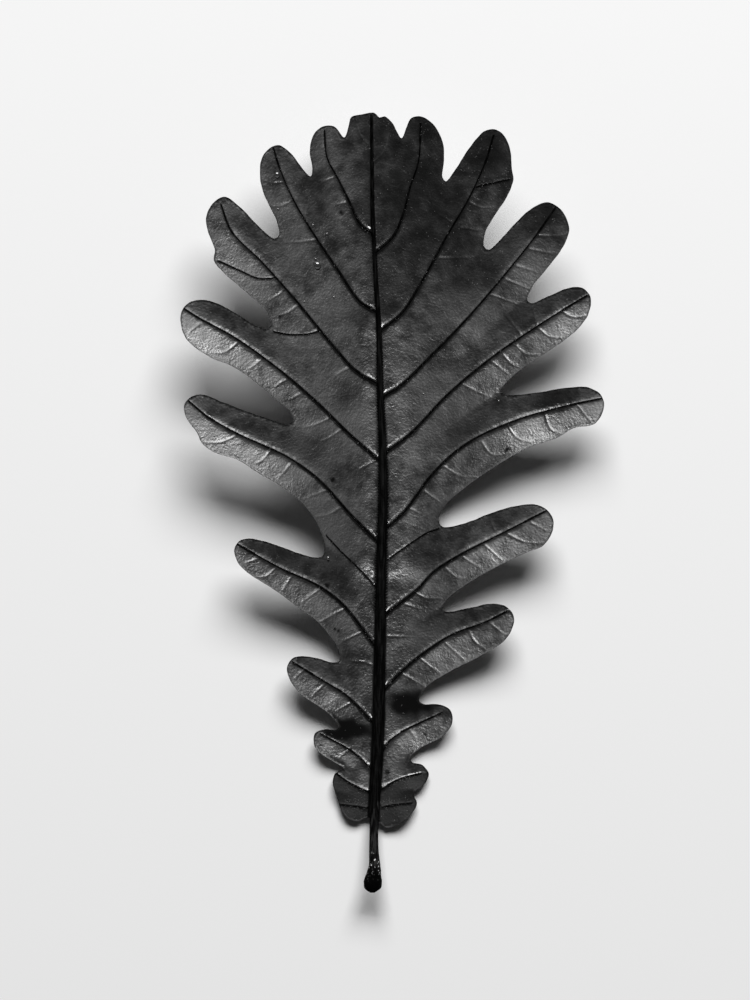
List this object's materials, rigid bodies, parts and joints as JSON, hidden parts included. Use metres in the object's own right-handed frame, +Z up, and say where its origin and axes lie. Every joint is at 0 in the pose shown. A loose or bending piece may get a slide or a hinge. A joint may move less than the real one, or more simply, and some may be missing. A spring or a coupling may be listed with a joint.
{
  "type": "oak leaf",
  "caption": "Dried lobed oak leaf with its short stalk, curled into a shallow cradle, its veined underside up, lying on a small flat stretch under its midrib.",
  "frame": {"origin": "centre of the bounding box, on the floor that the leaf lies on", "axes": "+Y along the leaf from stalk to tip, +X across it, +Z up, out of the veined face"},
  "size_m": [0.0813, 0.15, 0.0149],
  "materials": {
    "leaf": "dry leaf, dark, faintly glossy"
  },
  "bodies": {
    "root": {"oak_leaf": "leaf"}
  },
  "joints": []
}
